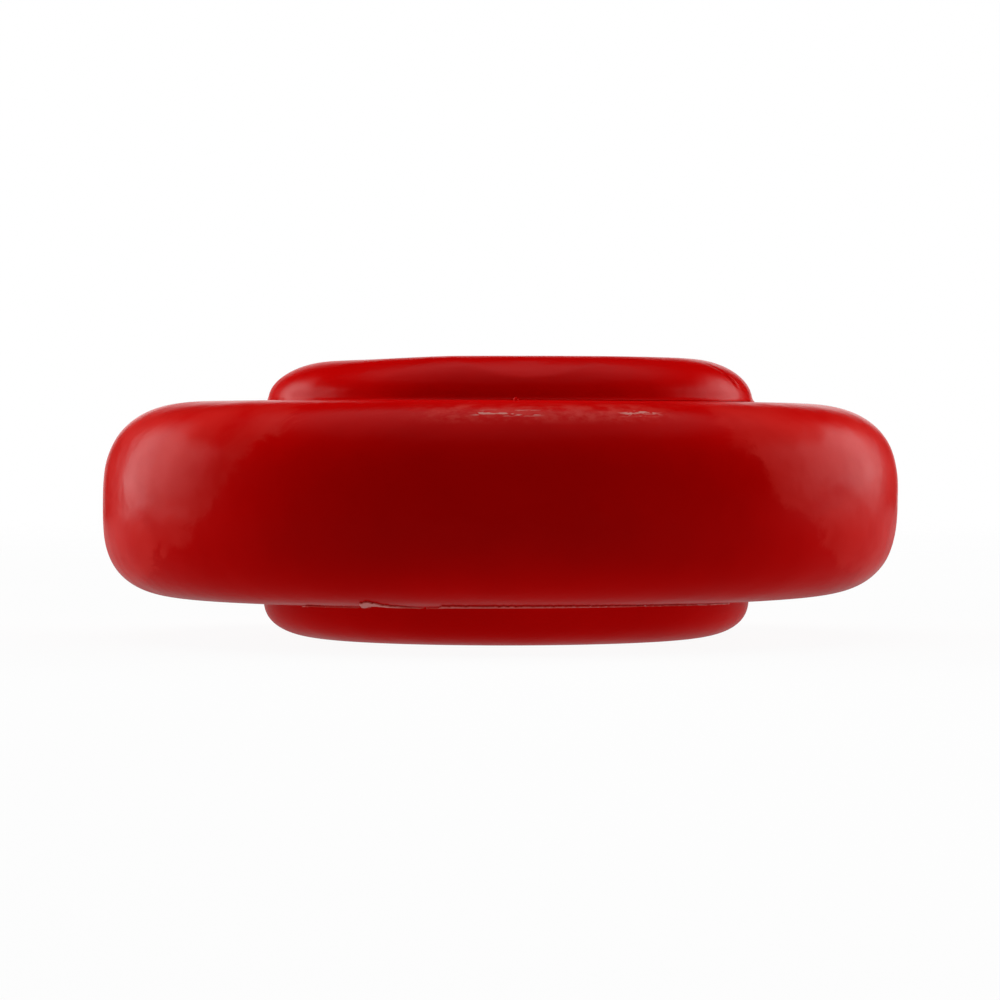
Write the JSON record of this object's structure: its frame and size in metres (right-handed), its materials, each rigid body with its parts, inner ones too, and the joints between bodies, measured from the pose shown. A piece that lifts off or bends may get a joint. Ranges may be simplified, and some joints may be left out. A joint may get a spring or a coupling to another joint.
{
  "type": "diabolo",
  "caption": "Low disc diabolo for juggling: a fat soft rounded wheel spins on a bearing core between two narrower soft cups clamped on a bolt.",
  "frame": {"origin": "on the axis of rotation, in the plane of the lower cup's flat lip, which the part stands on", "axes": "+Z along the axis of rotation, from the lower cup up to the upper cup; the part is round, so X and Y are any two level directions, with the nut's flats facing X"},
  "size_m": [0.12, 0.12, 0.0418],
  "materials": {
    "soft_red": "gloss",
    "hub_nylon": "satin",
    "zinc_steel": "zinc plated, satin",
    "bearing_steel": "ground and polished",
    "cage_nylon": "satin"
  },
  "bodies": {
    "cups": {"upper_cup": "soft_red", "lower_cup": "soft_red", "axle_bolt": "zinc_steel", "axle_nut": "zinc_steel", "upper_washer": "zinc_steel", "lower_washer": "zinc_steel", "upper_cup_seat": "zinc_steel", "lower_cup_seat": "zinc_steel", "race_spacer": "zinc_steel", "upper_inner_race": "bearing_steel", "lower_inner_race": "bearing_steel"},
    "wheel": {"tyre": "soft_red", "wheel_hub": "hub_nylon", "upper_outer_race": "bearing_steel", "lower_outer_race": "bearing_steel", "upper_outside_shield": "bearing_steel", "upper_inside_shield": "bearing_steel", "lower_outside_shield": "bearing_steel", "lower_inside_shield": "bearing_steel"},
    "upper_balls": {"upper_cage": "cage_nylon", "upper_ball_1": "bearing_steel", "upper_ball_2": "bearing_steel", "upper_ball_3": "bearing_steel", "upper_ball_4": "bearing_steel", "upper_ball_5": "bearing_steel", "upper_ball_6": "bearing_steel", "upper_ball_7": "bearing_steel"},
    "lower_balls": {"lower_cage": "cage_nylon", "lower_ball_1": "bearing_steel", "lower_ball_2": "bearing_steel", "lower_ball_3": "bearing_steel", "lower_ball_4": "bearing_steel", "lower_ball_5": "bearing_steel", "lower_ball_6": "bearing_steel", "lower_ball_7": "bearing_steel"}
  },
  "joints": [
    {"name": "wheel_spin", "type": "hinge", "parent": "cups", "child": "wheel", "pos_m": [0, 0, 0.0209], "axis": [0, 0, 1], "continuous": true},
    {"name": "upper_balls_spin", "type": "hinge", "parent": "cups", "child": "upper_balls", "pos_m": [0, 0, 0.0259], "axis": [0, 0, 1], "continuous": true},
    {"name": "lower_balls_spin", "type": "hinge", "parent": "cups", "child": "lower_balls", "pos_m": [0, 0, 0.0159], "axis": [0, 0, 1], "continuous": true}
  ],
  "couplings": [
    {"joint": "upper_balls_spin", "follows": "wheel_spin", "ratio": 0.6323},
    {"joint": "lower_balls_spin", "follows": "wheel_spin", "ratio": 0.6323}
  ]
}
